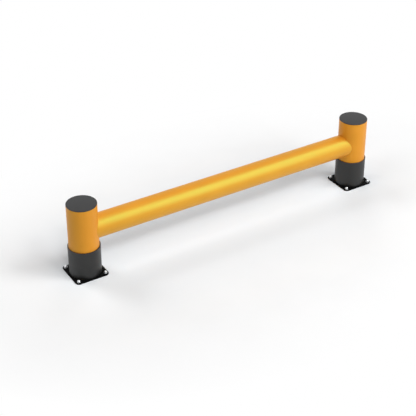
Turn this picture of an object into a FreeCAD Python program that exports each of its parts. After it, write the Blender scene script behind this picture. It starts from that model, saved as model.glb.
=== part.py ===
import FreeCAD, Part
import math
import os

# An industrial guard rail: two round polymer posts on steel base plates, with one large polymer rail
# between them. X runs along the rail, Z is up, and the origin is on the floor, midway between the posts.
# Each post is drawn round its own axis, with the rail leaving it towards +X, and is then put in place.

# Overall layout, in millimetres
total_length = 2400.0
total_height = 520.0
rail_axis_height = 320.0

# Rail tube
rail_radius = 80.0
rail_wall = 9.5
rail_end_bevel = 1.0
rail_end_clearance = 1.0

# Post tube
post_over_rail = 20.0
post_wall = 14.7
post_top_bevel = 1.0
post_hole_clearance = 0.5

# Post cap
cap_flange = 4.0
cap_edge_radius = 1.8
cap_skirt_wall = 3.0
cap_skirt_depth = 26.0
cap_skirt_gap = 1.4
cap_rib_count = 12
cap_rib_width = 3.0
cap_rib_gap = 0.3

# Collar round the foot of the post
collar_top = 207.0
collar_gap = 1.0
collar_wall = 6.0
collar_edge_radius = 1.5

# Base plate and its anchor holes
plate_margin = 10.5
plate_thickness = 8.0
plate_corner_radius = 25.0
plate_bevel = 1.0
anchor_edge_distance = 21.5
anchor_hole_radius = 7.0

# Anchor washers and closed cap nuts
anchor_washer_radius = 12.0
anchor_washer_hole_radius = 6.5
anchor_washer_thickness = 2.5
anchor_nut_flats = 19.0
anchor_nut_hexagon_height = 8.0
anchor_nut_dome_height = 5.0
anchor_nut_dome_radius = 8.2
anchor_nut_dome_rounding = 4.5
anchor_nut_bore_radius = 5.1
anchor_nut_bore_depth = 9.0

# Steel spigot inside the post
spigot_clearance = 1.15
spigot_wall = 5.0
head_thickness = 10.0
head_clearance = 0.3
foot_weld_leg = 6.0
head_weld_leg = 4.0
weld_gap = 0.1
weld_bulge = 0.15
foot_chamfer_margin = 1.5

# Saddle that carries the rail's end
seat_web = 12.0
seat_rise = 20.0
seat_land = 6.0
seat_gap = 0.3

# Retaining bolt with its nut, washers and spacer
bolt_radius = 10.0
bolt_hole_clearance = 1.0
bolt_flats = 30.0
bolt_head_height = 12.5
bolt_tip_length = 5.0
bolt_tip_bevel = 1.5
nut_height = 18.0
nut_thread_clearance = 0.15
washer_radius = 18.5
washer_thickness = 3.0
washer_bevel = 0.4
saddle_washer_width = 60.0
saddle_washer_crown = 6.0
spacer_wall = 5.85
spacer_end_gap = 0.3

# How hexagons are turned: the bevel's angle, and the bevelled face's radius as a share of the half width
hexagon_bevel_degrees = 30.0
hexagon_face_share = 0.95

# How far a cutting tool runs past the surface that it cuts
overshoot = 1.0

# Sizes that follow from the ones above
post_radius = rail_radius + post_over_rail
collar_radius = post_radius + collar_gap + collar_wall
plate_side = 2 * (collar_radius + plate_margin)
post_spacing = total_length - plate_side
post_bore_radius = post_radius - post_wall
post_top = total_height - cap_flange
rail_bore_radius = rail_radius - rail_wall
rail_past_axis = math.sqrt((post_bore_radius - rail_end_clearance) ** 2 - rail_radius ** 2)
rail_underside = rail_axis_height - rail_radius
seat_radius = rail_radius + seat_gap
seat_foot = rail_underside - seat_gap - seat_web
spigot_radius = post_bore_radius - spigot_clearance
spigot_bore_radius = spigot_radius - spigot_wall
spigot_top = seat_foot + head_weld_leg
bolt_hole_radius = bolt_radius + bolt_hole_clearance
saddle_washer_top = rail_axis_height + seat_radius + saddle_washer_crown
bolt_head_foot = saddle_washer_top + washer_thickness
nut_foot = seat_foot - head_thickness - nut_height
anchor_offset = plate_side / 2 - anchor_edge_distance
anchor_nut_foot = plate_thickness + anchor_washer_thickness

UP = FreeCAD.Vector(0, 0, 1)
ALONG = FreeCAD.Vector(1, 0, 0)
CENTRE = FreeCAD.Vector(0, 0, 0)
SIDES = {"left": -1, "right": 1}


def vertical_cylinder(radius, foot, top, x=0.0, y=0.0):
    """A solid cylinder that stands on the height foot."""
    return Part.makeCylinder(radius, top - foot, FreeCAD.Vector(x, y, foot), UP)


def rail_cylinder(radius, start, end):
    """A solid cylinder on the rail's axis, from one X to another."""
    base = FreeCAD.Vector(start, 0, rail_axis_height)
    return Part.makeCylinder(radius, end - start, base, ALONG)


def turned(points):
    """A solid of revolution about Z, from a closed outline of (radius, height) points."""
    corners = [FreeCAD.Vector(radius, 0, height) for radius, height in points]
    outline = Part.makePolygon(corners + corners[:1])
    return Part.Face(outline).revolve(CENTRE, UP, 360)


def circle_edges(shape, radius, height):
    """The horizontal circular edges of a shape with this radius and at this height."""
    found = []
    for edge in shape.Edges:
        if not isinstance(edge.Curve, Part.Circle):
            continue
        same_radius = abs(edge.Curve.Radius - radius) < 0.001
        same_height = abs(edge.Curve.Center.z - height) < 0.001
        if same_radius and same_height:
            found.append(edge)
    return found


def hexagon(flats, foot, top):
    """A hexagonal prism, with this distance across its flats."""
    corner_radius = flats / math.sqrt(3)
    corners = []
    for step in range(6):
        angle = math.radians(60 * step)
        corners.append(FreeCAD.Vector(corner_radius * math.cos(angle), corner_radius * math.sin(angle), foot))
    outline = Part.makePolygon(corners + corners[:1])
    return Part.Face(outline).extrude(UP * (top - foot))


def turned_hexagon(flats, foot, top, bevel_foot=False):
    """A hexagonal prism whose upper corners, and lower ones if asked, are turned off as on a nut."""
    face_radius = flats / 2 * hexagon_face_share
    reach = flats / math.sqrt(3) + overshoot
    drop = (reach - face_radius) * math.tan(math.radians(hexagon_bevel_degrees))
    foot_radius = face_radius if bevel_foot else reach
    envelope = turned([
        (0, foot),
        (foot_radius, foot),
        (reach, foot + drop),
        (reach, top - drop),
        (face_radius, top),
        (0, top),
    ])
    return hexagon(flats, foot, top).common(envelope)


def bevelled_washer(radius, hole_radius, foot, thickness, bevel):
    """A flat washer with bevelled outer edges."""
    top = foot + thickness
    return turned([
        (hole_radius, foot),
        (radius - bevel, foot),
        (radius, foot + bevel),
        (radius, top - bevel),
        (radius - bevel, top),
        (hole_radius, top),
    ])


def fillet_weld(wall_radius, way, floor, leg):
    """A weld bead in the corner of a wall and a floor, outside the wall for way 1 and inside it for -1."""
    root = wall_radius + way * weld_gap
    corner = FreeCAD.Vector(root, 0, floor)
    toe = FreeCAD.Vector(root + way * leg, 0, floor)
    crest = FreeCAD.Vector(root, 0, floor + leg)
    out = leg * (0.5 + weld_bulge)
    middle = FreeCAD.Vector(root + way * out, 0, floor + out)
    edges = [
        Part.LineSegment(corner, toe).toShape(),
        Part.Arc(toe, middle, crest).toShape(),
        Part.LineSegment(crest, corner).toShape(),
    ]
    return Part.Face(Part.Wire(edges)).revolve(CENTRE, UP, 360)


def four_anchors(shape):
    """One copy of a shape at each of the plate's four anchor holes."""
    copies = []
    for x in (-anchor_offset, anchor_offset):
        for y in (-anchor_offset, anchor_offset):
            copies.append(shape.translated(FreeCAD.Vector(x, y, 0)))
    return copies


def base_plate():
    """Square steel plate with round corners, a bevelled upper edge and four anchor holes."""
    half = plate_side / 2
    plate = Part.makeBox(plate_side, plate_side, plate_thickness, FreeCAD.Vector(-half, -half, 0))
    uprights = [edge for edge in plate.Edges if edge.BoundBox.ZLength > plate_thickness / 2]
    plate = plate.makeFillet(plate_corner_radius, uprights)
    upper = [edge for edge in plate.Edges if edge.BoundBox.ZMin > plate_thickness / 2]
    plate = plate.makeChamfer(plate_bevel, upper)
    for hole in four_anchors(vertical_cylinder(anchor_hole_radius, -overshoot, plate_thickness + overshoot)):
        plate = plate.cut(hole)
    return plate


def anchor_washers():
    """The washers that lie over the plate's anchor holes."""
    washer = bevelled_washer(
        anchor_washer_radius,
        anchor_washer_hole_radius,
        plate_thickness,
        anchor_washer_thickness,
        washer_bevel,
    )
    return Part.makeCompound(four_anchors(washer))


def anchor_nuts():
    """Closed hexagon nuts: a domed top over a blind threaded bore, open below for the floor's own stud."""
    shoulder = anchor_nut_foot + anchor_nut_hexagon_height
    body = turned_hexagon(anchor_nut_flats, anchor_nut_foot, shoulder)
    dome = vertical_cylinder(anchor_nut_dome_radius, shoulder - overshoot, shoulder + anchor_nut_dome_height)
    dome_rim = circle_edges(dome, anchor_nut_dome_radius, shoulder + anchor_nut_dome_height)
    dome = dome.makeFillet(anchor_nut_dome_rounding, dome_rim)
    bore = vertical_cylinder(anchor_nut_bore_radius, anchor_nut_foot, anchor_nut_foot + anchor_nut_bore_depth)
    nut = body.fuse(dome).removeSplitter().cut(bore)
    return Part.makeCompound(four_anchors(nut))


def spigot_tube():
    """Steel tube that stands on the base plate and fills the foot of the polymer post."""
    outer = vertical_cylinder(spigot_radius, plate_thickness, spigot_top)
    return outer.cut(vertical_cylinder(spigot_bore_radius, plate_thickness, spigot_top))


def spigot_head():
    """Steel disc in the top of the spigot tube, with the retaining bolt's hole."""
    radius = spigot_bore_radius - head_clearance
    disc = vertical_cylinder(radius, seat_foot - head_thickness, seat_foot)
    return disc.cut(vertical_cylinder(bolt_hole_radius, seat_foot - head_thickness, seat_foot))


def rail_seat():
    """Saddle under the rail's end: a block hollowed to the rail's curve, with a flat land on each side."""
    top = rail_underside + seat_rise
    hollow_half = math.sqrt(seat_radius ** 2 - (rail_axis_height - top) ** 2)
    half_width = hollow_half + seat_land
    corner = FreeCAD.Vector(-rail_past_axis, -half_width, seat_foot)
    block = Part.makeBox(2 * rail_past_axis, 2 * half_width, top - seat_foot, corner)
    block = block.cut(rail_cylinder(seat_radius, -2 * rail_past_axis, 2 * rail_past_axis))
    return block.cut(vertical_cylinder(bolt_hole_radius, seat_foot, top))


def saddle_washer():
    """Pad with a flat top and a hollow underside, between the round rail and the flat washer."""
    half = saddle_washer_width / 2
    corner = FreeCAD.Vector(-rail_past_axis, -half, rail_axis_height)
    block = Part.makeBox(
        2 * rail_past_axis,
        saddle_washer_width,
        saddle_washer_top - rail_axis_height,
        corner,
    )
    block = block.cut(rail_cylinder(seat_radius, -2 * rail_past_axis, 2 * rail_past_axis))
    return block.cut(vertical_cylinder(bolt_hole_radius, rail_axis_height, saddle_washer_top))


def bolt_washer():
    """Flat washer under the retaining bolt's head."""
    return bevelled_washer(washer_radius, bolt_hole_radius, saddle_washer_top, washer_thickness, washer_bevel)


def spacer_tube():
    """Steel sleeve round the bolt, inside the rail, as long as the rail's bore lets its rim be."""
    radius = bolt_hole_radius + spacer_wall
    half = math.sqrt(rail_bore_radius ** 2 - radius ** 2) - spacer_end_gap
    foot = rail_axis_height - half
    top = rail_axis_height + half
    return vertical_cylinder(radius, foot, top).cut(vertical_cylinder(bolt_hole_radius, foot, top))


def retaining_bolt():
    """Hexagon bolt, down through the rail's end, the saddle and the spigot's head into its nut."""
    head = turned_hexagon(bolt_flats, bolt_head_foot, bolt_head_foot + bolt_head_height)
    tip = nut_foot - bolt_tip_length
    shank = vertical_cylinder(bolt_radius, tip, bolt_head_foot + bolt_head_height / 2)
    shank = shank.makeChamfer(bolt_tip_bevel, circle_edges(shank, bolt_radius, tip))
    return head.fuse(shank).removeSplitter()


def retaining_nut():
    """Hexagon nut under the spigot's head."""
    nut = turned_hexagon(bolt_flats, nut_foot, nut_foot + nut_height, bevel_foot=True)
    return nut.cut(vertical_cylinder(bolt_radius + nut_thread_clearance, nut_foot, nut_foot + nut_height))


def post_tube():
    """Polymer tube with a bevelled top, a foot chamfered to clear the weld, and a round hole for the rail."""
    foot_chamfer = foot_weld_leg + foot_chamfer_margin
    tube = turned([
        (post_bore_radius + foot_chamfer, plate_thickness),
        (post_radius, plate_thickness),
        (post_radius, post_top - post_top_bevel),
        (post_radius - post_top_bevel, post_top),
        (post_bore_radius, post_top),
        (post_bore_radius, plate_thickness + foot_chamfer),
    ])
    return tube.cut(rail_cylinder(rail_radius + post_hole_clearance, 0, post_radius + overshoot))


def collar():
    """Loose polymer sleeve round the foot of the post, with rounded upper edges."""
    bore = collar_radius - collar_wall
    sleeve = vertical_cylinder(collar_radius, plate_thickness, collar_top)
    sleeve = sleeve.cut(vertical_cylinder(bore, plate_thickness, collar_top))
    rims = circle_edges(sleeve, collar_radius, collar_top) + circle_edges(sleeve, bore, collar_top)
    return sleeve.makeFillet(collar_edge_radius, rims)


def post_cap():
    """Moulded end cap: a flat flange over the tube's whole end, and a ribbed skirt inside it."""
    skirt_radius = post_bore_radius - cap_skirt_gap
    skirt_foot = post_top - cap_skirt_depth
    flange = vertical_cylinder(post_radius, post_top, total_height)
    flange = flange.makeFillet(cap_edge_radius, circle_edges(flange, post_radius, total_height))
    skirt = vertical_cylinder(skirt_radius, skirt_foot, post_top)
    skirt = skirt.cut(vertical_cylinder(skirt_radius - cap_skirt_wall, skirt_foot, post_top))
    cap = flange.fuse(skirt)
    rib_start = skirt_radius - cap_skirt_wall / 2
    rib_reach = post_bore_radius - cap_rib_gap
    for step in range(cap_rib_count):
        corner = FreeCAD.Vector(rib_start, -cap_rib_width / 2, skirt_foot)
        rib = Part.makeBox(rib_reach - rib_start, cap_rib_width, cap_skirt_depth, corner)
        rib = rib.common(vertical_cylinder(rib_reach, skirt_foot, post_top))
        rib.rotate(CENTRE, UP, 360 * (step + 0.5) / cap_rib_count)
        cap = cap.fuse(rib)
    return cap.removeSplitter()


def rail_tube():
    """The rail: one polymer tube, bevelled at its ends and drilled through for the two retaining bolts."""
    end = post_spacing / 2 + rail_past_axis
    outer = rail_cylinder(rail_radius, -end, end)
    ends = [edge for edge in outer.Edges if edge.BoundBox.XLength < 0.001]
    tube = outer.makeChamfer(rail_end_bevel, ends)
    tube = tube.cut(rail_cylinder(rail_bore_radius, -end, end))
    for side in SIDES.values():
        x = side * post_spacing / 2
        low = rail_underside - overshoot
        high = rail_axis_height + rail_radius + overshoot
        tube = tube.cut(vertical_cylinder(bolt_hole_radius, low, high, x))
    return tube


def placed(shape, side):
    """Turns and moves a post's piece to its side, so that the hole for the rail faces the other post."""
    copy = shape.copy()
    if side > 0:
        copy.rotate(CENTRE, UP, 180)
    copy.translate(FreeCAD.Vector(side * post_spacing / 2, 0, 0))
    return copy


post_pieces = {
    "base_plate": base_plate(),
    "spigot_tube": spigot_tube(),
    "foot_weld": fillet_weld(spigot_radius, 1, plate_thickness, foot_weld_leg),
    "spigot_head": spigot_head(),
    "head_weld": fillet_weld(spigot_bore_radius, -1, seat_foot, head_weld_leg),
    "rail_seat": rail_seat(),
    "spacer_tube": spacer_tube(),
    "saddle_washer": saddle_washer(),
    "bolt_washer": bolt_washer(),
    "retaining_bolt": retaining_bolt(),
    "retaining_nut": retaining_nut(),
    "post_tube": post_tube(),
    "collar": collar(),
    "post_cap": post_cap(),
    "anchor_washers": anchor_washers(),
    "anchor_nuts": anchor_nuts(),
}

os.makedirs("parts", exist_ok=True)
rail_tube().exportStep("parts/rail_tube.step")
for side_name, side_way in SIDES.items():
    for piece_name, piece in post_pieces.items():
        placed(piece, side_way).exportStep(f"parts/{piece_name}_{side_name}.step")
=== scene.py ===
"""Finishes the industrial guard rail: its outer pieces, its surfaces, the studio light and the camera.

Everything is in metres. X runs along the rail, Z is up, and the origin is on the floor, midway
between the posts. Each post's pieces are made round the post's own axis, with the rail leaving
towards +X, and are then put in place.
"""

import math

import bmesh
import bpy
from mathutils import Matrix, Vector


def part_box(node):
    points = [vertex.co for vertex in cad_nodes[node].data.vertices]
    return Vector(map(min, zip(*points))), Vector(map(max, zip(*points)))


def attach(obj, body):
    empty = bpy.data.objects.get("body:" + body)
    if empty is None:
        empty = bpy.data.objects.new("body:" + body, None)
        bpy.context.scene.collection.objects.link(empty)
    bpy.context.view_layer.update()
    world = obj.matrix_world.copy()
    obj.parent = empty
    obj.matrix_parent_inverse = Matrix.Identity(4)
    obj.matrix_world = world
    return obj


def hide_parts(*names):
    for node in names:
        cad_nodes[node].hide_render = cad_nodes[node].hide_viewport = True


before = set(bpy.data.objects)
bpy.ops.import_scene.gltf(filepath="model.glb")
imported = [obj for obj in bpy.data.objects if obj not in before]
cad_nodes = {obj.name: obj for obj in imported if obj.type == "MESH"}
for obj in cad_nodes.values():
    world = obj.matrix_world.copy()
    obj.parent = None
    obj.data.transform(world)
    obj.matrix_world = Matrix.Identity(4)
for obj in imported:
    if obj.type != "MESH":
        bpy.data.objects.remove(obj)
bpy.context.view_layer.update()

# Which way the rail leaves each post, along X
sides = {"left": 1, "right": -1}


def extent(node):
    """A node's lowest and highest corners, to a tenth of a millimetre, which evens out flat facets."""
    return [Vector([round(value, 4) for value in corner]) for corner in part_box(node)]


# Sizes that the frame's boxes give
rail_low, rail_high = extent("rail_tube")
rail_radius = (rail_high.z - rail_low.z) / 2
rail_axis_height = (rail_high.z + rail_low.z) / 2
rail_length = rail_high.x - rail_low.x
cap_low, cap_high = extent("post_cap_left")
post_radius = (cap_high.x - cap_low.x) / 2
left_post_x = (cap_high.x + cap_low.x) / 2
cap_top = cap_high.z
skirt_foot = cap_low.z
post_low, post_high = extent("post_tube_left")
post_foot = post_low.z
post_top = post_high.z
collar_low, collar_high = extent("collar_left")
collar_radius = (collar_high.x - collar_low.x) / 2
collar_top = collar_high.z
plate_low, plate_high = extent("base_plate_left")
plate_side = plate_high.x - plate_low.x
plate_top = plate_high.z
washer_low, washer_high = extent("anchor_washers_left")
anchor_washer_top = washer_high.z
anchor_nut_top = extent("anchor_nuts_left")[1].z

# Sizes of the rail, the posts and the caps that the boxes don't give
rail_wall = 0.0095
rail_edge_rounding = 0.001
post_wall = 0.0147
post_top_bevel = 0.001
post_foot_chamfer = 0.0075
post_hole_clearance = 0.0005
cap_edge_rounding = 0.0018
skirt_radius = 0.0839
skirt_wall = 0.003
rib_count = 12
rib_width = 0.003
rib_reach = 0.085

# Sizes of the collars, the plates and the anchors
collar_wall = 0.006
collar_edge_rounding = 0.0015
collar_worn_depth = 0.004
plate_corner_radius = 0.025
plate_edge_rounding = 0.001
anchor_hole_radius = 0.007
anchor_washer_radius = 0.012
anchor_washer_hole_radius = 0.0065
anchor_washer_rounding = 0.0004
anchor_nut_flats = 0.019
anchor_nut_shoulder = 0.0185
anchor_dome_radius = 0.0082
anchor_dome_rounding = 0.0045
anchor_bore_radius = 0.0051
anchor_bore_top = 0.0195
anchor_spacing = washer_high.x - washer_low.x - 2 * anchor_washer_radius

# Sizes of the retaining bolts, and of the bevel on every hexagon
bolt_hole_radius = 0.011
bolt_radius = 0.010
bolt_flats = 0.030
bolt_tip_bevel = 0.0015
thread_pitch = 0.0025
thread_depth = 0.0015
thread_length = 0.052
thread_steepness = 1.25
hexagon_face_share = 0.95
hexagon_bevel = math.radians(30)

# Weld beads: their section, and the size, bow, edge and wander of the ripples on them
weld_gap = 0.0001
weld_bulge = 0.15
ripple_pitch = 0.0032
ripple_depth = 0.00035
ripple_edge = 1.6
ripple_bow = 1.0e5
ripple_onset = 4.0e5
ripple_wander = 3.0
wander_scale = 40.0

# How finely round shapes are cut
turn_steps = 192
small_turn_steps = 96
weld_turn_steps = 1440
rounding_steps = 5
cap_rim_steps = 8
dome_steps = 12
shoulder_steps = 10
plate_corner_steps = 16
plate_hole_steps = 48
weld_section_steps = 12
thread_rows = 10
rail_stations = 24
collar_stations = 8
post_station = 0.01
smooth_angle = math.radians(32)

# How long the tools for holes are, as multiples of the tube's radius
rail_hole_reach = 1.2
drill_reach = 3.0

# What two points that lie this close are taken for: one point
same_point = 1e-6

# The camera, as fitted to the photograph
camera_place = (-3.5598, -5.4813, 4.2678)
camera_turn = -0.5572
camera_tilt = math.pi / 2 - 0.5163
camera_lens = 96.944
camera_sensor = 36.0
camera_shift = -0.13221
camera_sight = 100.0

# Where the lamps are aimed, and how far off the near lamps and the marks of the far lamps stand
lamp_target = Vector((0, 0, 0.2))
near_lamp_distance = 5.0
far_lamp_distance = 8.0

# The floor: half its side, and from how far to how far off it fades to plain white. Fade shape
# multiplies the distance along X and along Y
floor_reach = 30.0
floor_fade = (1.15, 1.9)
floor_fade_shape = (0.8, 1.2, 1.0)

# Where the rail's colour warms the floor, which gets a painted cool tint there against it: along X,
# how far out it does so fully and how far at all, and along Y, the front end, the middle and the back
# end
warmed_along = (0.75, 1.5)
warmed_front = -0.83
warmed_middle = 0.12
warmed_back = 0.82


def add(tree, kind, inputs=None, **settings):
    """Adds a node, sets its options, and fills its inputs with values or other nodes' outputs."""
    made = tree.nodes.new(kind)
    for name, value in settings.items():
        setattr(made, name, value)
    for key, value in (inputs or {}).items():
        if isinstance(value, bpy.types.NodeSocket):
            tree.links.new(value, made.inputs[key])
        else:
            made.inputs[key].default_value = value
    return made


def math_node(tree, operation, first, second=0.0):
    """The output of a math node in a geometry or material tree."""
    return add(tree, "ShaderNodeMath", {0: first, 1: second}, operation=operation).outputs[0]


def product(tree, first, second):
    """Two numbers multiplied."""
    return math_node(tree, "MULTIPLY", first, second)


def total(tree, first, second):
    """Two numbers added."""
    return math_node(tree, "ADD", first, second)


def difference(tree, first, second):
    """The second number taken from the first."""
    return math_node(tree, "SUBTRACT", first, second)


def vector(tree, **parts):
    """A vector from its X, Y and Z."""
    return add(tree, "ShaderNodeCombineXYZ", parts).outputs[0]


def above(tree, first, second):
    """Whether the first number is above the second."""
    given = {"A": first, "B": second}
    settings = {"data_type": "FLOAT", "operation": "GREATER_THAN"}
    return add(tree, "FunctionNodeCompare", given, **settings).outputs[0]


def chosen(tree, kind, switch, otherwise, value):
    """The value where the switch is on, and the other one where it is off."""
    given = {"Switch": switch, "False": otherwise, "True": value}
    return add(tree, "GeometryNodeSwitch", given, input_type=kind).outputs[0]


def moved(tree, geometry, **change):
    """Geometry with a Translation or a Rotation."""
    return add(tree, "GeometryNodeTransform", {"Geometry": geometry, **change}).outputs[0]


def smoothed(mesh):
    """Shades a mesh smooth, apart from its real edges."""
    mesh.shade_smooth()
    mesh.set_sharp_from_angle(angle=smooth_angle)
    return mesh


def dressed(mesh, name, slot, *replaced):
    """Makes a piece of the object from a mesh, in place of the frame's plain solids."""
    piece = bpy.data.objects.new(name, mesh)
    bpy.context.scene.collection.objects.link(piece)
    mesh.materials.clear()
    mesh.materials.append(finishes[slot])
    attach(piece, "root")
    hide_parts(*replaced)
    return piece


def placed(mesh, side):
    """A copy of a post's mesh, turned and moved to its side."""
    way = sides[side]
    turn = Matrix.Rotation(math.pi * (1 - way) / 2, 4, "Z")
    copy = mesh.copy()
    copy.transform(Matrix.Translation((way * left_post_x, 0, 0)) @ turn)
    return copy


def dress_posts(mesh, name, slot, node):
    """Puts a post's mesh at both posts, in place of the frame's node at each."""
    for side in sides:
        dressed(placed(mesh, side), f"{side}_{name}", slot, f"{node}_{side}")


def arc(centre, radius, start, end, steps=rounding_steps):
    """Points on an arc in the outline of a turned piece. Angles are in degrees."""
    points = []
    for step in range(steps + 1):
        angle = math.radians(start + (end - start) * step / steps)
        points.append((centre[0] + radius * math.cos(angle), centre[1] + radius * math.sin(angle)))
    return points


def hexagon(flats):
    """Keeps the radii of a turned piece within a hexagon that has a corner at angle 0."""
    def reach(radius, angle, height):
        within = (angle % (math.pi / 3)) - math.pi / 6
        return min(radius, flats / 2 / math.cos(within))
    return reach


def turned(outline, steps, closed=True, reach=None):
    """A mesh turned round Z from (radius, height) points. Reach may change a radius by its place."""
    shape = bmesh.new()
    rings = []
    for radius, height in outline:
        if radius < same_point:
            rings.append([shape.verts.new((0, 0, height))])
            continue
        ring = []
        for step in range(steps):
            angle = 2 * math.pi * step / steps
            out = reach(radius, angle, height) if reach else radius
            ring.append(shape.verts.new((out * math.cos(angle), out * math.sin(angle), height)))
        rings.append(ring)
    pairs = list(zip(rings, rings[1:]))
    if closed:
        pairs.append((rings[-1], rings[0]))
    for low, high in pairs:
        for step in range(steps):
            following = (step + 1) % steps
            corners = [low[step % len(low)], low[following % len(low)]]
            corners += [high[following % len(high)], high[step % len(high)]]
            corners = list(dict.fromkeys(corners))
            if len(corners) > 2:
                shape.faces.new(corners)
    bmesh.ops.recalc_face_normals(shape, faces=shape.faces)
    mesh = bpy.data.meshes.new("turned form")
    shape.to_mesh(mesh)
    shape.free()
    return mesh


def evaluated(mesh, modify):
    """The mesh that a modifier makes of a mesh. Modify is a function that gets the object."""
    worker = bpy.data.objects.new("worker", mesh)
    bpy.context.scene.collection.objects.link(worker)
    modify(worker)
    graph = bpy.context.evaluated_depsgraph_get()
    result = bpy.data.meshes.new_from_object(worker.evaluated_get(graph))
    bpy.data.objects.remove(worker)
    return result


def grown(tree, values, mesh=None):
    """The mesh that a set of geometry nodes makes, with its inputs set by name."""
    sockets = [item for item in tree.interface.items_tree if item.in_out == "INPUT"]
    identifiers = {socket.name: socket.identifier for socket in sockets}

    def apply_nodes(worker):
        modifier = worker.modifiers.new("nodes", "NODES")
        modifier.node_group = tree
        for name, value in values.items():
            modifier[identifiers[name]] = value

    return evaluated(mesh or bpy.data.meshes.new("start"), apply_nodes)


def node_tree(name, inputs):
    """An empty geometry node tree with these named inputs, and its input and output nodes."""
    tree = bpy.data.node_groups.new(name, "GeometryNodeTree")
    for label, kind in inputs.items():
        tree.interface.new_socket(label, in_out="INPUT", socket_type=f"NodeSocket{kind}")
    tree.interface.new_socket("Geometry", in_out="OUTPUT", socket_type="NodeSocketGeometry")
    return tree, add(tree, "NodeGroupInput").outputs, add(tree, "NodeGroupOutput").inputs


def smooth_nodes(tree, geometry):
    """Nodes that shade a mesh smooth, apart from its real edges."""
    faces = {"Geometry": geometry, "Shade Smooth": True}
    smooth = add(tree, "GeometryNodeSetShadeSmooth", faces, domain="FACE").outputs[0]
    angle = add(tree, "GeometryNodeInputMeshEdgeAngle").outputs["Unsigned Angle"]
    sharp = above(tree, angle, smooth_angle)
    edges = {"Geometry": smooth, "Selection": sharp, "Shade Smooth": False}
    return add(tree, "GeometryNodeSetShadeSmooth", edges, domain="EDGE").outputs[0]


def finish_nodes(tree, geometry, material, result):
    """The end of each tree: real geometry with its material."""
    real = add(tree, "GeometryNodeRealizeInstances", {"Geometry": geometry}).outputs[0]
    painted = add(tree, "GeometryNodeSetMaterial", {"Geometry": real, "Material": material})
    tree.links.new(painted.outputs[0], result)


def tube_tree():
    """A tube that stands on the origin, with rounded rims and level stations along its walls."""
    tree, given, result = node_tree("tube", {
        "Geometry": "Geometry",
        "Radius": "Float",
        "Wall": "Float",
        "Length": "Float",
        "Foot Rounding": "Float",
        "Top Rounding": "Float",
        "Rounding Steps": "Int",
        "Turn Steps": "Int",
        "Stations": "Int",
        "Bolt Hole Radius": "Float",
        "Bolt Hole Distance": "Float",
        "Material": "Material",
    })
    path = add(tree, "GeometryNodeCurvePrimitiveCircle", {
        "Resolution": given["Turn Steps"],
        "Radius": difference(tree, given["Radius"], product(tree, given["Wall"], 0.5)),
    })
    section = add(tree, "GeometryNodeCurvePrimitiveQuadrilateral", {
        "Width": given["Wall"],
        "Height": given["Length"],
    })
    place = add(tree, "GeometryNodeInputPosition").outputs[0]
    height = add(tree, "ShaderNodeSeparateXYZ", {0: place}).outputs["Y"]
    upper = above(tree, height, 0.0)
    rounded = add(tree, "GeometryNodeFilletCurve", {
        "Curve": section.outputs[0],
        "Count": given["Rounding Steps"],
        "Radius": chosen(tree, "FLOAT", upper, given["Foot Rounding"], given["Top Rounding"]),
        "Limit Radius": True,
    }, mode="POLY").outputs[0]
    walls = add(tree, "GeometryNodeSubdivideCurve", {
        "Curve": rounded,
        "Cuts": wall_cuts(tree, rounded, given["Length"], given["Stations"]),
    })
    swept = add(tree, "GeometryNodeCurveToMesh", {
        "Curve": path.outputs[0],
        "Profile Curve": walls.outputs[0],
    })
    middle = vector(tree, Z=product(tree, given["Length"], 0.5))
    tube = moved(tree, swept.outputs[0], Translation=middle)
    drilled = drilled_ends(tree, tube, given, middle)
    finish_nodes(tree, smooth_nodes(tree, drilled), given["Material"], result["Geometry"])
    return tree


def wall_cuts(tree, section, length, stations):
    """How many stations each stretch of the tube's section gets: all on a wall, none on a rim."""
    here = add(tree, "GeometryNodeInputPosition").outputs[0]
    index = add(tree, "GeometryNodeInputIndex").outputs[0]
    size = add(tree, "GeometryNodeAttributeDomainSize", {0: section}, component="CURVE")
    following = math_node(tree, "MODULO", total(tree, index, 1.0), size.outputs["Point Count"])
    ahead = add(tree, "GeometryNodeFieldAtIndex", {
        "Index": following,
        "Value": here,
    }, data_type="FLOAT_VECTOR", domain="POINT")
    ends = {0: here, 1: ahead.outputs[0]}
    stretch = add(tree, "ShaderNodeVectorMath", ends, operation="DISTANCE").outputs["Value"]
    is_wall = above(tree, stretch, product(tree, length, 0.5))
    return chosen(tree, "INT", is_wall, 0, stations)


def drilled_ends(tree, tube, given, middle):
    """Nodes that drill a bolt hole across each end of the tube, where a hole's radius is given."""
    drill = add(tree, "GeometryNodeMeshCylinder", {
        "Vertices": small_turn_steps,
        "Radius": given["Bolt Hole Radius"],
        "Depth": product(tree, given["Radius"], drill_reach),
    }).outputs["Mesh"]
    # Half a step's turn keeps the drill's corners off the tube's own lines
    spun = moved(tree, drill, Rotation=(0, 0, math.pi / small_turn_steps))
    laid = moved(tree, spun, Rotation=(0, math.pi / 2, 0))
    ends = {0: middle, 1: vector(tree, Z=given["Bolt Hole Distance"])}
    drills = add(tree, "GeometryNodeJoinGeometry")
    for operation in ("SUBTRACT", "ADD"):
        place = add(tree, "ShaderNodeVectorMath", ends, operation=operation).outputs[0]
        tree.links.new(moved(tree, laid, Translation=place), drills.inputs[0])
    cut = add(tree, "GeometryNodeMeshBoolean", {
        "Mesh 1": tube,
        "Mesh 2": drills.outputs[0],
    }, operation="DIFFERENCE", solver="EXACT")
    wanted = above(tree, given["Bolt Hole Radius"], 0.0)
    return chosen(tree, "GEOMETRY", wanted, tube, cut.outputs[0])


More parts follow.
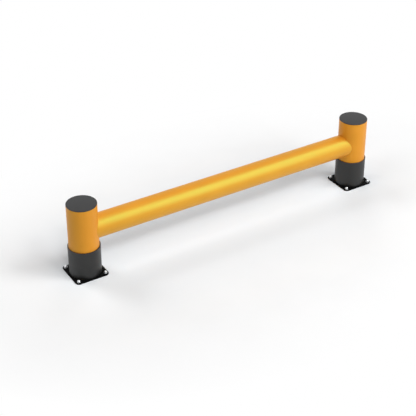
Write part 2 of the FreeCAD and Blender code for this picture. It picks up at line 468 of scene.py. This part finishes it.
def anchor_tree():
    """One copy of a form at each anchor hole of a plate, turned by chance, as a spanner leaves it."""
    tree, given, result = node_tree("anchors", {
        "Geometry": "Geometry",
        "Spacing": "Float",
        "Plate Offset": "Float",
        "Seed": "Int",
        "Material": "Material",
    })
    holes = add(tree, "GeometryNodeMeshGrid", {
        "Size X": given["Spacing"],
        "Size Y": given["Spacing"],
        "Vertices X": 2,
        "Vertices Y": 2,
    })
    spin = add(tree, "FunctionNodeRandomValue", {"Seed": given["Seed"]}, data_type="FLOAT")
    spin.inputs["Max"].default_value = 2 * math.pi
    turn = vector(tree, Z=spin.outputs["Value"])
    copies = add(tree, "GeometryNodeInstanceOnPoints", {
        "Points": holes.outputs["Mesh"],
        "Instance": given["Geometry"],
        "Rotation": add(tree, "FunctionNodeEulerToRotation", {0: turn}).outputs[0],
    })
    offset = vector(tree, X=given["Plate Offset"])
    at_plate = moved(tree, copies.outputs[0], Translation=offset)
    finish_nodes(tree, at_plate, given["Material"], result["Geometry"])
    return tree


def rib_tree():
    """Joins straight ribs to a cap's skirt, evenly round it."""
    tree, given, result = node_tree("cap ribs", {
        "Geometry": "Geometry",
        "Count": "Int",
        "Inner Radius": "Float",
        "Reach": "Float",
        "Width": "Float",
        "Foot": "Float",
        "Top": "Float",
        "Material": "Material",
    })
    size = vector(
        tree,
        X=difference(tree, given["Reach"], given["Inner Radius"]),
        Y=given["Width"],
        Z=difference(tree, given["Top"], given["Foot"]),
    )
    middle = vector(
        tree,
        X=product(tree, total(tree, given["Inner Radius"], given["Reach"]), 0.5),
        Z=product(tree, total(tree, given["Foot"], given["Top"]), 0.5),
    )
    rib = add(tree, "GeometryNodeMeshCube", {"Size": size}).outputs["Mesh"]
    line = add(tree, "GeometryNodeMeshLine", {"Count": given["Count"], "Offset": (0, 0, 0)})
    index = add(tree, "GeometryNodeInputIndex").outputs[0]
    step = math_node(tree, "DIVIDE", 2 * math.pi, given["Count"])
    turn = vector(tree, Z=product(tree, total(tree, index, 0.5), step))
    ribs = add(tree, "GeometryNodeInstanceOnPoints", {
        "Points": line.outputs[0],
        "Instance": moved(tree, rib, Translation=middle),
        "Rotation": add(tree, "FunctionNodeEulerToRotation", {0: turn}).outputs[0],
    })
    real = add(tree, "GeometryNodeRealizeInstances", {"Geometry": ribs.outputs[0]}).outputs[0]
    joined = add(tree, "GeometryNodeMeshBoolean", {
        "Mesh 2": given["Geometry"],
    }, operation="UNION", solver="EXACT")
    tree.links.new(real, joined.inputs["Mesh 2"])
    smooth = smooth_nodes(tree, joined.outputs[0])
    finish_nodes(tree, smooth, given["Material"], result["Geometry"])
    return tree


def weld_tree():
    """Gives a smooth ring of weld metal the ripples that a welder's hand leaves."""
    tree, given, result = node_tree("weld ripples", {
        "Geometry": "Geometry",
        "Wall Radius": "Float",
        "Ripple Pitch": "Float",
        "Ripple Depth": "Float",
        "Corner Height": "Float",
        "Seed": "Float",
        "Material": "Material",
    })
    place = add(tree, "GeometryNodeInputPosition").outputs[0]
    axes = add(tree, "ShaderNodeSeparateXYZ", {0: place}).outputs
    angle = math_node(tree, "ARCTAN2", axes["Y"], axes["X"])
    across = vector(tree, X=axes["X"], Y=axes["Y"])
    radius = add(tree, "ShaderNodeVectorMath", {0: across}, operation="LENGTH").outputs["Value"]
    from_wall = math_node(tree, "ABSOLUTE", difference(tree, radius, given["Wall Radius"]))
    from_floor = difference(tree, axes["Z"], given["Corner Height"])
    # Both distances are nought on the metal that the bead lies on, where it stays plain
    lean = product(tree, from_wall, from_floor)
    exposed = math_node(tree, "MINIMUM", product(tree, lean, ripple_onset), 1.0)
    wander = add(tree, "ShaderNodeTexNoise", {
        "W": given["Seed"],
        "Scale": wander_scale,
    }, noise_dimensions="4D").outputs["Fac"]
    along = product(tree, angle, given["Wall Radius"])
    ripples = math_node(tree, "DIVIDE", along, given["Ripple Pitch"])
    bowed = total(tree, ripples, product(tree, lean, ripple_bow))
    wandered = total(tree, bowed, product(tree, wander, ripple_wander))
    scallop = math_node(tree, "POWER", math_node(tree, "FRACT", wandered), ripple_edge)
    depth = product(tree, product(tree, scallop, given["Ripple Depth"]), exposed)
    inward = {
        0: add(tree, "GeometryNodeInputNormal").outputs[0],
        "Scale": product(tree, depth, -1.0),
    }
    rippled = add(tree, "GeometryNodeSetPosition", {
        "Geometry": given["Geometry"],
        "Offset": add(tree, "ShaderNodeVectorMath", inward, operation="SCALE").outputs[0],
    })
    smooth = smooth_nodes(tree, rippled.outputs[0])
    finish_nodes(tree, smooth, given["Material"], result["Geometry"])
    return tree


def weld_ring(wall_radius, way, floor, leg):
    """A plain ring of weld metal in a corner, outside the wall for way 1 and inside it for way -1."""
    outline = [(wall_radius, floor)]
    for step in range(weld_section_steps + 1):
        share = step / weld_section_steps
        rise = 4 * leg * weld_bulge * share * (1 - share)
        out = leg * (1 - share) + rise
        outline.append((wall_radius + way * out, floor + leg * share + rise))
    return turned(outline, weld_turn_steps)


def hexagon_shoulder(flats, top):
    """The bevel turned on a hexagon's upper corners, as outline points from its side to its face."""
    corner = flats / math.sqrt(3)
    face = flats / 2 * hexagon_face_share
    points = []
    for step in range(shoulder_steps + 1):
        radius = corner + (face - corner) * step / shoulder_steps
        points.append((radius, top - (radius - face) * math.tan(hexagon_bevel)))
    return points


def closed_nut_outline():
    """A closed nut: a bore open below, a hexagon with turned corners, and a domed top."""
    outline = [
        (0, anchor_bore_top),
        (anchor_bore_radius, anchor_bore_top),
        (anchor_bore_radius, anchor_washer_top),
        (anchor_nut_flats / math.sqrt(3), anchor_washer_top),
    ]
    outline += hexagon_shoulder(anchor_nut_flats, anchor_nut_shoulder)
    outline.append((anchor_dome_radius, anchor_nut_shoulder))
    centre = (anchor_dome_radius - anchor_dome_rounding, anchor_nut_top - anchor_dome_rounding)
    outline += arc(centre, anchor_dome_rounding, 0, 90, dome_steps)
    outline.append((0, anchor_nut_top))
    return outline


def washer_outline():
    """An anchor washer, with rounded outer edges."""
    rounding = anchor_washer_rounding
    edge = anchor_washer_radius - rounding
    outline = [(anchor_washer_hole_radius, plate_top)]
    outline += arc((edge, plate_top + rounding), rounding, -90, 0)
    outline += arc((edge, anchor_washer_top - rounding), rounding, 0, 90)
    outline.append((anchor_washer_hole_radius, anchor_washer_top))
    return outline


def cap_outline():
    """A post cap without its ribs: a flange with a rounded rim, and a skirt."""
    inner = skirt_radius - skirt_wall
    outline = [
        (0, post_top),
        (inner, post_top),
        (inner, skirt_foot),
        (skirt_radius, skirt_foot),
        (skirt_radius, post_top),
        (post_radius, post_top),
    ]
    centre = (post_radius - cap_edge_rounding, cap_top - cap_edge_rounding)
    outline += arc(centre, cap_edge_rounding, 0, 90, cap_rim_steps)
    outline.append((0, cap_top))
    return outline


def post_outline():
    """A post tube's wall, with level stations where the rail's hole is cut."""
    bore = post_radius - post_wall
    shoulder = post_foot + post_foot_chamfer
    count = int((post_top - post_foot) / post_station)
    heights = [shoulder + step * post_station for step in range(1, count)]
    outline = [(bore + post_foot_chamfer, post_foot), (post_radius, post_foot)]
    outline += [(post_radius, height) for height in heights]
    outline.append((post_radius, post_top - post_top_bevel))
    outline.append((post_radius - post_top_bevel, post_top))
    outline.append((bore, post_top))
    outline += [(bore, height) for height in reversed(heights)]
    outline.append((bore, shoulder))
    return outline


def bolt_mesh():
    """A retaining bolt: a bevelled hexagon head, a plain shank and a thread that runs out."""
    low, high = extent("retaining_bolt_left")
    head_foot = extent("bolt_washer_left")[1].z
    thread_top = low.z + thread_length
    count = int(thread_length / thread_pitch * thread_rows)
    first = round(bolt_tip_bevel / thread_length * count) + 1
    outline = [
        (0, low.z),
        (bolt_radius - bolt_tip_bevel, low.z),
        (bolt_radius, low.z + bolt_tip_bevel),
    ]
    for step in range(first, count + 1):
        outline.append((bolt_radius, low.z + thread_length * step / count))
    outline += [(bolt_radius, thread_top + thread_pitch), (bolt_radius, head_foot)]
    outline.append((bolt_flats / math.sqrt(3), head_foot))
    outline += hexagon_shoulder(bolt_flats, high.z)
    outline.append((0, high.z))
    hexagonal = hexagon(bolt_flats)

    def reach(radius, angle, height):
        if height >= head_foot or radius < bolt_radius:
            return hexagonal(radius, angle, height)
        turns = height / thread_pitch - angle / (2 * math.pi)
        groove = 1 - abs(2 * (turns % 1) - 1)
        run_out = min(1, max(0, (thread_top - height) / thread_pitch))
        return radius - thread_depth * run_out * min(1, thread_steepness * groove)

    return smoothed(turned(outline, small_turn_steps, closed=False, reach=reach))


def rail_hole_cutter():
    """The round bar that cuts the rail's hole through one side of a post."""
    length = post_radius * rail_hole_reach
    cutter = bmesh.new()
    bmesh.ops.create_cone(
        cutter,
        cap_ends=True,
        segments=turn_steps,
        radius1=rail_radius + post_hole_clearance,
        radius2=rail_radius + post_hole_clearance,
        depth=length,
    )
    lay_down = Matrix.Rotation(math.pi / 2, 4, "Y")
    along_rail = Matrix.Translation((length / 2, 0, rail_axis_height)) @ lay_down
    bmesh.ops.transform(cutter, matrix=along_rail, verts=cutter.verts)
    mesh = bpy.data.meshes.new("rail hole")
    cutter.to_mesh(mesh)
    cutter.free()
    return mesh


def post_mesh():
    """A post tube with the rail's hole cut through it."""
    cutter = bpy.data.objects.new("rail hole", rail_hole_cutter())
    bpy.context.scene.collection.objects.link(cutter)

    def cut_hole(worker):
        modifier = worker.modifiers.new("rail hole", "BOOLEAN")
        modifier.operation = "DIFFERENCE"
        modifier.solver = "EXACT"
        modifier.object = cutter

    cut = evaluated(turned(post_outline(), turn_steps), cut_hole)
    bpy.data.objects.remove(cutter)
    return smoothed(cut)


def add_loop(curve, points):
    """Adds a closed loop of (x, y) points to a flat curve."""
    loop = curve.splines.new("POLY")
    loop.points.add(len(points) - 1)
    for point, (x, y) in zip(loop.points, points):
        point.co = (x, y, 0, 1)
    loop.use_cyclic_u = True


def plate_mesh():
    """A base plate: a flat sheet with round corners, anchor holes and eased edges."""
    inset = plate_side / 2 - plate_corner_radius
    outline = []
    for corner, (across, along) in enumerate([(1, 1), (-1, 1), (-1, -1), (1, -1)]):
        centre = (across * inset, along * inset)
        start = 90 * corner
        outline += arc(centre, plate_corner_radius, start, start + 90, plate_corner_steps)
    sheet = bpy.data.curves.new("plate", "CURVE")
    sheet.dimensions = "2D"
    sheet.fill_mode = "BOTH"
    sheet.extrude = plate_top / 2 - plate_edge_rounding
    sheet.bevel_depth = plate_edge_rounding
    sheet.bevel_resolution = 3
    sheet.offset = -plate_edge_rounding
    add_loop(sheet, outline)
    # A hole's points run the other way round, and the last one stops short of the first
    last = 360 / plate_hole_steps
    for across in (-1, 1):
        for along in (-1, 1):
            centre = (across * anchor_spacing / 2, along * anchor_spacing / 2)
            add_loop(sheet, arc(centre, anchor_hole_radius, 360, last, plate_hole_steps - 1))
    worker = bpy.data.objects.new("plate", sheet)
    mesh = bpy.data.meshes.new_from_object(worker)
    bpy.data.objects.remove(worker)
    mesh.transform(Matrix.Translation((0, 0, plate_top / 2)))
    shape = bmesh.new()
    shape.from_mesh(mesh)
    bmesh.ops.remove_doubles(shape, verts=shape.verts, dist=same_point)
    bmesh.ops.recalc_face_normals(shape, faces=shape.faces)
    shape.to_mesh(mesh)
    shape.free()
    return smoothed(mesh)


def shade(colour, *factors):
    """A colour with its red, green and blue multiplied, each by its own factor or all by one."""
    if len(factors) == 1:
        factors *= 3
    return [value * factor for value, factor in zip(colour, factors)]


def surface(name, **sockets):
    """A new material, with its shader's plain values set, and the piece's own coordinates."""
    material = bpy.data.materials.new(name)
    material.use_nodes = True
    tree = material.node_tree
    shader = tree.nodes["Principled BSDF"]
    for label, value in sockets.items():
        shader.inputs[label.replace("_", " ")].default_value = value
    place = add(tree, "ShaderNodeTexCoord").outputs["Object"]
    return material, tree, shader, place


def noise(tree, place, scale, detail, stretch=(1, 1, 1)):
    """A noise with about this many features to a metre, stretched along some axes."""
    stretched = add(tree, "ShaderNodeMapping", {"Vector": place, "Scale": stretch}).outputs[0]
    given = {"Vector": stretched, "Scale": scale, "Detail": detail}
    return add(tree, "ShaderNodeTexNoise", given).outputs["Fac"]


def spread(tree, value, start, end, low=0.0, high=1.0):
    """Maps start to low and end to high, and holds what is past them."""
    given = {"Value": value, "From Min": start, "From Max": end, "To Min": low, "To Max": high}
    return add(tree, "ShaderNodeMapRange", given).outputs["Result"]


def mixed(tree, share, first, second):
    """A colour between two colours, each of which is a plain colour or another node's output."""
    given = {0: share}
    for key, colour in ((6, first), (7, second)):
        given[key] = colour if isinstance(colour, bpy.types.NodeSocket) else (*colour, 1)
    return add(tree, "ShaderNodeMix", given, data_type="RGBA").outputs[2]


def covered(tree, shader, colour, roughness, *relief):
    """Gives a shader its colour, its roughness and its relief.

    Each layer of relief is a height, and how high it rises in metres."""
    tree.links.new(colour, shader.inputs["Base Color"])
    tree.links.new(roughness, shader.inputs["Roughness"])
    normal = None
    for height, rise in relief:
        given = {"Height": height, "Distance": rise, "Strength": 1.0}
        if normal:
            given["Normal"] = normal
        normal = add(tree, "ShaderNodeBump", given).outputs[0]
    tree.links.new(normal, shader.inputs["Normal"])


def drawn_polymer(name, colour, along, shine):
    """Yellow-orange polymer tube: draw lines along its axis, faint clouding and handling marks."""
    material, tree, shader, place = surface(
        name,
        IOR=1.75,
        Specular_IOR_Level=shine,
        Specular_Tint=(0.13, 1.0, 0.19, 1),
    )
    lengthwise = [1.0, 1.0, 1.0]
    lengthwise["XYZ".index(along)] = 0.006
    lines = noise(tree, place, 240, 4, lengthwise)
    clouds = noise(tree, place, 5.5, 4)
    grain = noise(tree, place, 1400, 2)
    marks = noise(tree, place, 60, 6, (1.0, 0.35, 1.6))
    deep = shade(colour, 0.97, 0.96, 0.9)
    light = shade(colour, 1.03, 1.04, 1.1)
    plain = mixed(tree, spread(tree, clouds, 0.32, 0.68), deep, light)
    streaks = spread(tree, lines, 0.35, 0.65, high=0.16)
    streaked = mixed(tree, streaks, plain, shade(colour, 0.86, 0.80, 0.7))
    rubbed = spread(tree, marks, 0.66, 0.74, high=0.10)
    marked = mixed(tree, rubbed, streaked, shade(colour, 1.05, 1.4, 3.5))
    gloss = spread(tree, clouds, 0.3, 0.7, 0.44, 0.48)
    dulled = total(tree, gloss, spread(tree, marks, 0.60, 0.74, high=0.10))
    covered(tree, shader, marked, dulled, (lines, 0.00004), (grain, 0.000012))
    return material


def moulded_polymer(name, colour, dust, gloss, worn_height=None):
    """Dark moulded polymer: a leathery grain, faint dust, and a rubbed rim at one height."""
    material, tree, shader, place = surface(name, Specular_IOR_Level=gloss)
    grain = noise(tree, place, 1500, 3)
    clouds = noise(tree, place, 16, 5)
    specks = noise(tree, place, 420, 2)
    plain = mixed(tree, spread(tree, clouds, 0.35, 0.7, high=0.8), colour, dust)
    rubbed = spread(tree, specks, 0.64, 0.76, high=0.25)
    if worn_height:
        height = add(tree, "ShaderNodeSeparateXYZ", {0: place}).outputs["Z"]
        near_rim = spread(tree, height, worn_height - collar_worn_depth, worn_height)
        broken = spread(tree, clouds, 0.40, 0.62, low=0.15)
        rubbed = math_node(tree, "MAXIMUM", rubbed, product(tree, near_rim, broken))
    dusty = mixed(tree, rubbed, plain, shade(dust, 3))
    roughness = spread(tree, clouds, 0.3, 0.7, 0.40, 0.50)
    covered(tree, shader, dusty, roughness, (grain, 0.00004), (clouds, 0.00005))
    return material


def stoved_coat(name, colour, gloss, roughness):
    """Stoved paint on steel: a fine orange-peel skin with dust in it."""
    material, tree, shader, place = surface(name, Specular_IOR_Level=gloss)
    peel = noise(tree, place, 520, 3)
    clouds = noise(tree, place, 22, 5)
    chips = noise(tree, place, 260, 3)
    plain = mixed(tree, spread(tree, clouds, 0.35, 0.7), colour, shade(colour, 1.8))
    speckled = spread(tree, chips, 0.70, 0.76, high=0.5)
    dusty = mixed(tree, speckled, plain, shade(colour, 6))
    clouded = spread(tree, clouds, 0.3, 0.7, roughness - 0.06, roughness + 0.06)
    covered(tree, shader, dusty, clouded, (peel, 0.00006))
    return material


def plated_steel(name, colour, roughness, grain_stretch=(1, 1, 1)):
    """Zinc-plated steel: a crystalline skin, clouded in places, with tool marks along its grain."""
    material, tree, shader, place = surface(name, Metallic=1.0)
    cells = {"Vector": place, "Scale": 900.0}
    crystals = add(tree, "ShaderNodeTexVoronoi", cells).outputs["Distance"]
    clouds = noise(tree, place, 120, 5)
    lines = noise(tree, place, 900, 3, grain_stretch)
    plain = mixed(tree, spread(tree, clouds, 0.35, 0.65), colour, shade(colour, 0.8))
    speckled = spread(tree, crystals, 0.2, 0.9, high=0.12)
    bright = mixed(tree, speckled, plain, (0.95, 0.96, 0.98))
    clouded = spread(tree, clouds, 0.3, 0.7, roughness - 0.05, roughness + 0.08)
    covered(tree, shader, bright, clouded, (lines, 0.000012), (clouds, 0.00002))
    return material


def seen_directly(tree):
    """One for what is seen, also in a gloss or through glass, and nought for light on its way."""
    path = add(tree, "ShaderNodeLightPath").outputs
    seen = math_node(tree, "MAXIMUM", path["Is Camera Ray"], path["Is Glossy Ray"])
    return math_node(tree, "MAXIMUM", seen, path["Is Transmission Ray"])


def within(tree, value, full, end):
    """One up to full, and gently down to nought at end."""
    given = {"Value": value, "From Min": full, "From Max": end, "To Min": 1.0, "To Max": 0.0}
    settings = {"interpolation_type": "SMOOTHSTEP"}
    return add(tree, "ShaderNodeMapRange", given, **settings).outputs["Result"]


def rail_bounce_share(tree, place):
    """How much the rail's bounce light warms a place on the floor, and so how much painted cool tint
    it gets there: one below it, and nought away from it.
    """
    axes = add(tree, "ShaderNodeSeparateXYZ", {0: place}).outputs
    along = math_node(tree, "ABSOLUTE", axes["X"])
    before = within(tree, axes["Y"], warmed_middle, warmed_front)
    behind = within(tree, axes["Y"], warmed_middle, warmed_back)
    across = product(tree, before, behind)
    return product(tree, within(tree, along, *warmed_along), across)


def floor_paint():
    """The studio's pale floor, with a painted cool tint by the rail against the rail's warm bounce
    light, and plain white far from the object.
    """
    material, tree, shader, place = surface(
        "studio floor",
        Specular_IOR_Level=0.0,
        Roughness=1.0,
    )
    clouds = noise(tree, place, 3, 3)
    tone = spread(tree, clouds, 0.3, 0.7)
    pale = mixed(tree, tone, (0.925, 0.930, 0.935), (0.945, 0.950, 0.955))
    seen = seen_directly(tree)
    # A painted cool tint by the rail, where it is looked at, cancels the warm light that the rail
    # throws
    painted_cooling_share = product(tree, rail_bounce_share(tree, place), seen)
    painted_cool_floor = mixed(tree, painted_cooling_share, pale, (0.857, 0.923, 0.982))
    tree.links.new(painted_cool_floor, shader.inputs["Base Color"])
    shaped = {0: place, 1: floor_fade_shape}
    oval = add(tree, "ShaderNodeVectorMath", shaped, operation="MULTIPLY").outputs[0]
    away = add(tree, "ShaderNodeVectorMath", {0: oval}, operation="LENGTH").outputs["Value"]
    white = add(tree, "ShaderNodeEmission", {"Color": (1, 1, 1, 1), "Strength": 1.0})
    faded = add(tree, "ShaderNodeMixShader", {
        0: product(tree, spread(tree, away, *floor_fade), seen),
        1: shader.outputs[0],
        2: white.outputs[0],
    })
    tree.links.new(faded.outputs[0], tree.nodes["Material Output"].inputs["Surface"])
    return material


finishes = {
    "rail_polymer": drawn_polymer("rail polymer", (0.765, 0.241, 0.0150), along="X", shine=1.0),
    "post_polymer": drawn_polymer("post polymer", (0.742, 0.258, 0.0215), along="Z", shine=0.45),
    "cap_polymer": moulded_polymer(
        "cap polymer",
        colour=(0.0172, 0.0172, 0.0178),
        dust=(0.0275, 0.0275, 0.028),
        gloss=0.33,
    ),
    "collar_polymer": moulded_polymer(
        "collar polymer",
        colour=(0.0083, 0.0083, 0.0080),
        dust=(0.014, 0.014, 0.0135),
        gloss=0.48,
        worn_height=collar_top,
    ),
    "seat_polymer": moulded_polymer(
        "seat polymer",
        colour=(0.05, 0.05, 0.052),
        dust=(0.08, 0.08, 0.08),
        gloss=0.5,
    ),
    "plate_coating": stoved_coat("plate coating", (0.0016, 0.0016, 0.0017), 0.04, 0.6),
    "spigot_coating": stoved_coat("spigot coating", (0.035, 0.036, 0.038), 0.5, 0.42),
    "weld_bead": stoved_coat("weld bead", (0.035, 0.036, 0.038), 0.5, 0.46),
    "washer_zinc": plated_steel("washer zinc", (0.42, 0.43, 0.44), 0.40),
    "nut_zinc": plated_steel("nut zinc", (0.86, 0.87, 0.88), 0.30, (1, 1, 0.1)),
    "spacer_zinc": plated_steel("spacer zinc", (0.70, 0.70, 0.68), 0.34, (1, 1, 0.02)),
    "saddle_zinc": plated_steel("saddle zinc", (0.62, 0.63, 0.64), 0.46, (0.05, 1, 1)),
    "bolt_zinc": plated_steel("bolt zinc", (0.74, 0.73, 0.68), 0.30, (1, 1, 0.05)),
}

# The frame's solids that stay, each with its finish
kept_solids = {
    "spigot_tube": "spigot_coating",
    "spigot_head": "spigot_coating",
    "rail_seat": "seat_polymer",
    "spacer_tube": "spacer_zinc",
    "saddle_washer": "saddle_zinc",
    "bolt_washer": "washer_zinc",
    "retaining_nut": "nut_zinc",
}
for kind, slot in kept_solids.items():
    for side in sides:
        solid = cad_nodes[f"{kind}_{side}"]
        solid.data.materials.clear()
        solid.data.materials.append(finishes[slot])


def add_rail(tubes):
    """The rail: a tube on its side, drilled for the two retaining bolts."""
    mesh = grown(tubes, {
        "Radius": rail_radius,
        "Wall": rail_wall,
        "Length": rail_length,
        "Foot Rounding": rail_edge_rounding,
        "Top Rounding": rail_edge_rounding,
        "Rounding Steps": rounding_steps,
        "Turn Steps": turn_steps,
        "Stations": rail_stations,
        "Bolt Hole Radius": bolt_hole_radius,
        "Bolt Hole Distance": abs(left_post_x),
        "Material": finishes["rail_polymer"],
    })
    lay_down = Matrix.Rotation(math.pi / 2, 4, "Y")
    mesh.transform(Matrix.Translation((-rail_length / 2, 0, rail_axis_height)) @ lay_down)
    dressed(mesh, "rail", "rail_polymer", "rail_tube")


def add_posts():
    """The two post tubes."""
    dress_posts(post_mesh(), "post", "post_polymer", "post_tube")


def add_caps():
    """The two post caps, with their ribs."""
    plain_cap = turned(cap_outline(), turn_steps, closed=False)
    mesh = grown(rib_tree(), {
        "Count": rib_count,
        "Inner Radius": skirt_radius - skirt_wall / 2,
        "Reach": rib_reach,
        "Width": rib_width,
        "Foot": skirt_foot,
        "Top": post_top,
        "Material": finishes["cap_polymer"],
    }, plain_cap)
    dress_posts(mesh, "cap", "cap_polymer", "post_cap")


def add_collars(tubes):
    """The sleeves round the feet of the posts."""
    mesh = grown(tubes, {
        "Radius": collar_radius,
        "Wall": collar_wall,
        "Length": collar_top - plate_top,
        "Foot Rounding": 0.0,
        "Top Rounding": collar_edge_rounding,
        "Rounding Steps": rounding_steps,
        "Turn Steps": turn_steps,
        "Stations": collar_stations,
        "Bolt Hole Radius": 0.0,
        "Bolt Hole Distance": 0.0,
        "Material": finishes["collar_polymer"],
    })
    mesh.transform(Matrix.Translation((0, 0, plate_top)))
    dress_posts(mesh, "collar", "collar_polymer", "collar")


def add_plates():
    """The two base plates."""
    dress_posts(plate_mesh(), "plate", "plate_coating", "base_plate")


def add_anchors():
    """The washers and the closed nuts on the plates."""
    tree = anchor_tree()
    hexagonal = hexagon(anchor_nut_flats)
    forms = {
        "washers": (turned(washer_outline(), small_turn_steps), "washer_zinc"),
        "nuts": (
            turned(closed_nut_outline(), small_turn_steps, closed=False, reach=hexagonal),
            "nut_zinc",
        ),
    }
    for seed, (side, way) in enumerate(sides.items()):
        for form, (mesh, slot) in forms.items():
            copies = grown(tree, {
                "Spacing": anchor_spacing,
                "Plate Offset": way * left_post_x,
                "Seed": seed,
                "Material": finishes[slot],
            }, smoothed(mesh).copy())
            dressed(copies, f"{side}_anchor_{form}", slot, f"anchor_{form}_{side}")


def add_bolts():
    """The long bolts that hold the rail's ends down, with their threads."""
    dress_posts(bolt_mesh(), "bolt", "bolt_zinc", "retaining_bolt")


def add_welds():
    """The rippled weld beads at the foot and at the head of each spigot tube."""
    tree = weld_tree()
    spigot_low, spigot_high = extent("spigot_tube_left")
    spigot_radius = (spigot_high.x - spigot_low.x) / 2
    head_low, head_high = extent("head_weld_left")
    head_radius = (head_high.x - head_low.x) / 2
    foot_leg = extent("foot_weld_left")[1].z - plate_top
    head_leg = head_high.z - head_low.z
    beads = {
        "foot_weld": (spigot_radius + weld_gap, 1, plate_top, foot_leg),
        "head_weld": (head_radius, -1, head_low.z, head_leg),
    }
    for name, (radius, way, corner, leg) in beads.items():
        for seed, side in enumerate(sides):
            mesh = grown(tree, {
                "Wall Radius": radius,
                "Ripple Pitch": ripple_pitch,
                "Ripple Depth": ripple_depth,
                "Corner Height": corner,
                "Seed": float(seed),
                "Material": finishes["weld_bead"],
            }, weld_ring(radius, way, corner, leg))
            dressed(placed(mesh, side), f"{side}_{name}", "weld_bead", f"{name}_{side}")


tube_nodes = tube_tree()
add_rail(tube_nodes)
add_posts()
add_caps()
add_collars(tube_nodes)
add_plates()
add_anchors()
add_bolts()
add_welds()


def studio_lamp(name, azimuth, elevation, width, level, distance=None):
    """A soft lamp. Level is what it adds to a white surface turned to it, and width how wide it looks.

    Azimuth is from the front (-Y) towards the right post (+X). All angles are in degrees. A lamp
    without a distance lights the whole object from the same direction."""
    turn = math.radians(azimuth)
    rise = math.radians(elevation)
    level_part = math.cos(rise)
    direction = Vector((math.sin(turn) * level_part, -math.cos(turn) * level_part, math.sin(rise)))
    lamp = bpy.data.lights.new(name, "POINT" if distance else "SUN")
    if distance:
        lamp.energy = level * 4 * math.pi ** 2 * distance ** 2
        lamp.shadow_soft_size = distance * math.tan(math.radians(width / 2))
    else:
        lamp.energy = level * math.pi
        lamp.angle = math.radians(width)
    lamp_object = bpy.data.objects.new(name, lamp)
    lamp_object.location = lamp_target + (distance or far_lamp_distance) * direction
    lamp_object.rotation_euler = direction.to_track_quat("Z", "Y").to_euler()
    lamp_object.visible_camera = False
    # What stands behind the object lights it, but leaves no glare on it
    lamp_object.visible_glossy = abs(azimuth) <= 90
    bpy.context.scene.collection.objects.link(lamp_object)


def add_world():
    """A white surround to see and to be reflected, which gives no light to matt surfaces."""
    world = bpy.data.worlds.new("studio")
    world.use_nodes = True
    tree = world.node_tree
    tree.nodes.clear()
    white = {"Color": (1, 1, 1, 1), "Strength": seen_directly(tree)}
    sky = add(tree, "ShaderNodeBackground", white).outputs[0]
    add(tree, "ShaderNodeOutputWorld", {"Surface": sky})
    bpy.context.scene.world = world


def add_floor():
    """A wide flat floor."""
    low = -floor_reach
    high = floor_reach
    corners = [(low, low, 0), (high, low, 0), (high, high, 0), (low, high, 0)]
    sheet = bpy.data.meshes.new("floor")
    sheet.from_pydata(corners, [], [(0, 1, 2, 3)])
    sheet.materials.append(floor_paint())
    floor = bpy.data.objects.new("floor", sheet)
    bpy.context.scene.collection.objects.link(floor)


def add_camera():
    """The camera that sees the object as the photograph does."""
    lens = bpy.data.cameras.new("camera")
    lens.sensor_width = camera_sensor
    lens.lens = camera_lens
    lens.shift_y = camera_shift
    lens.clip_end = camera_sight
    camera = bpy.data.objects.new("camera", lens)
    camera.location = camera_place
    camera.rotation_euler = (camera_tilt, 0, camera_turn)
    bpy.context.scene.collection.objects.link(camera)
    bpy.context.scene.camera = camera


add_world()
studio_lamp("right key", 53, 46, width=22, level=0.296)
studio_lamp("front left", -12, 48, width=14, level=0.208)
studio_lamp("front right", 18, 50, width=14, level=0.163)
studio_lamp("low front", 21, 30, width=20, level=0.213, distance=near_lamp_distance)
studio_lamp("low right", 39, 20, width=12, level=0.112, distance=near_lamp_distance)
studio_lamp("left side", -90, 45, width=30, level=0.123)
studio_lamp("left top", -77, 62, width=24, level=0.061, distance=1.8)
studio_lamp("back left", -141, 40, width=24, level=0.195, distance=near_lamp_distance)
studio_lamp("back top", -160, 52, width=14, level=0.080)
studio_lamp("back right", 141, 20, width=24, level=0.193, distance=near_lamp_distance)
add_floor()
add_camera()
bpy.context.scene.view_settings.view_transform = "Standard"
